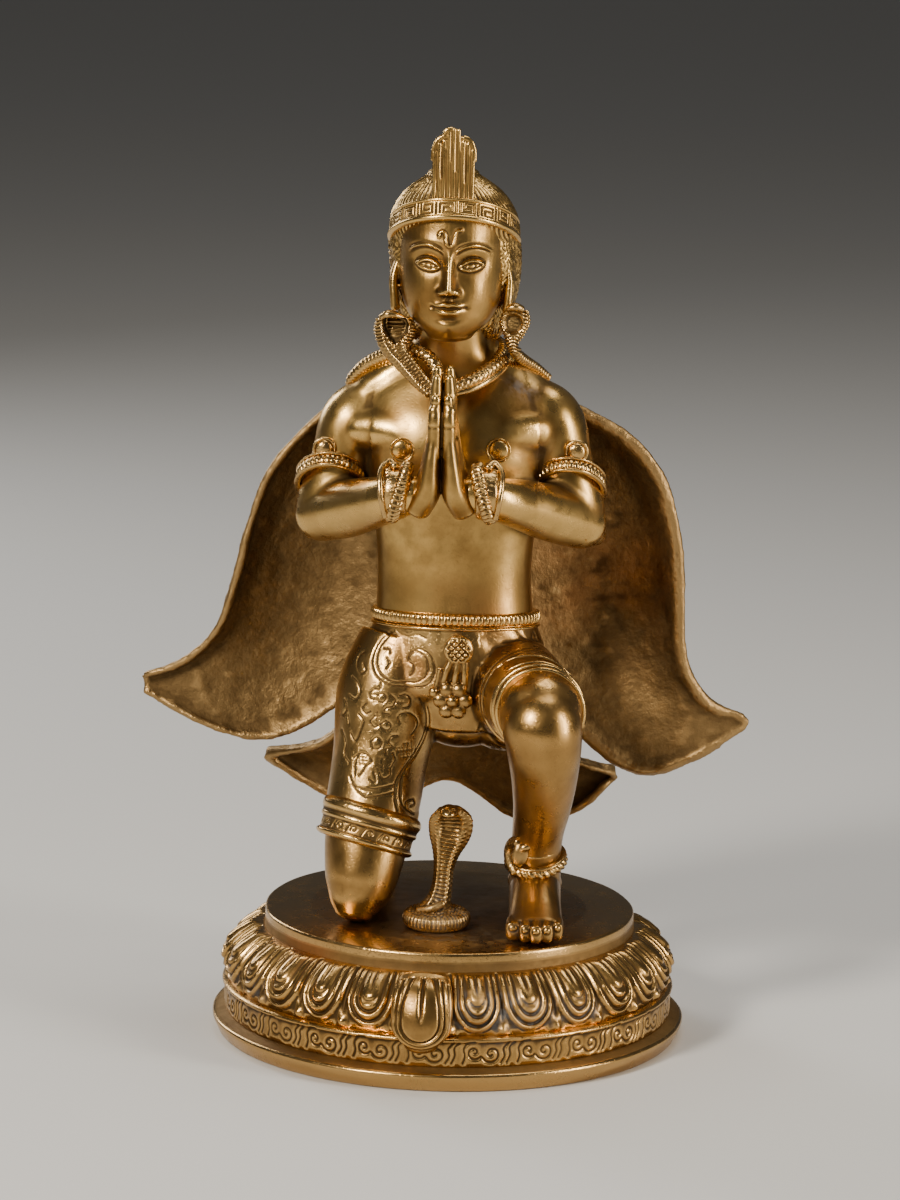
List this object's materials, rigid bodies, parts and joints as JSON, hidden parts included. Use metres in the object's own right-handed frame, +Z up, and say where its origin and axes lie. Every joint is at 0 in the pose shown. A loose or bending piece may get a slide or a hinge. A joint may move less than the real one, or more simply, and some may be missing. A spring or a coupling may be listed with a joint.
{
  "type": "bronze statue of a kneeling winged figure",
  "caption": "Cast bronze statue of a kneeling figure with folded hands, spread wings and a tail, on a round lotus base with a small rearing cobra; stands on its flat underside.",
  "frame": {"origin": "centre of the base's round underside", "axes": "+Z up, the figure looks along -Y, its right side at -X"},
  "size_m": [0.2741, 0.2086, 0.401],
  "materials": {
    "base_bronze": "satin cast bronze, brown in the recesses, with blue-grey bloom between the petals and worn bright rims",
    "figure_bronze": "satin golden-brown bronze, polished on the high forms and dark in the engraving",
    "wing_bronze": "rough brown cast bronze, pitted in the hollow, with bright worn rims",
    "cobra_bronze": "satin golden bronze, darker in the engraved rings"
  },
  "bodies": {
    "root": {"lotus_base": "base_bronze", "figure": "figure_bronze", "right_wing": "wing_bronze", "left_wing": "wing_bronze", "tail": "wing_bronze", "cobra": "cobra_bronze"}
  },
  "joints": []
}
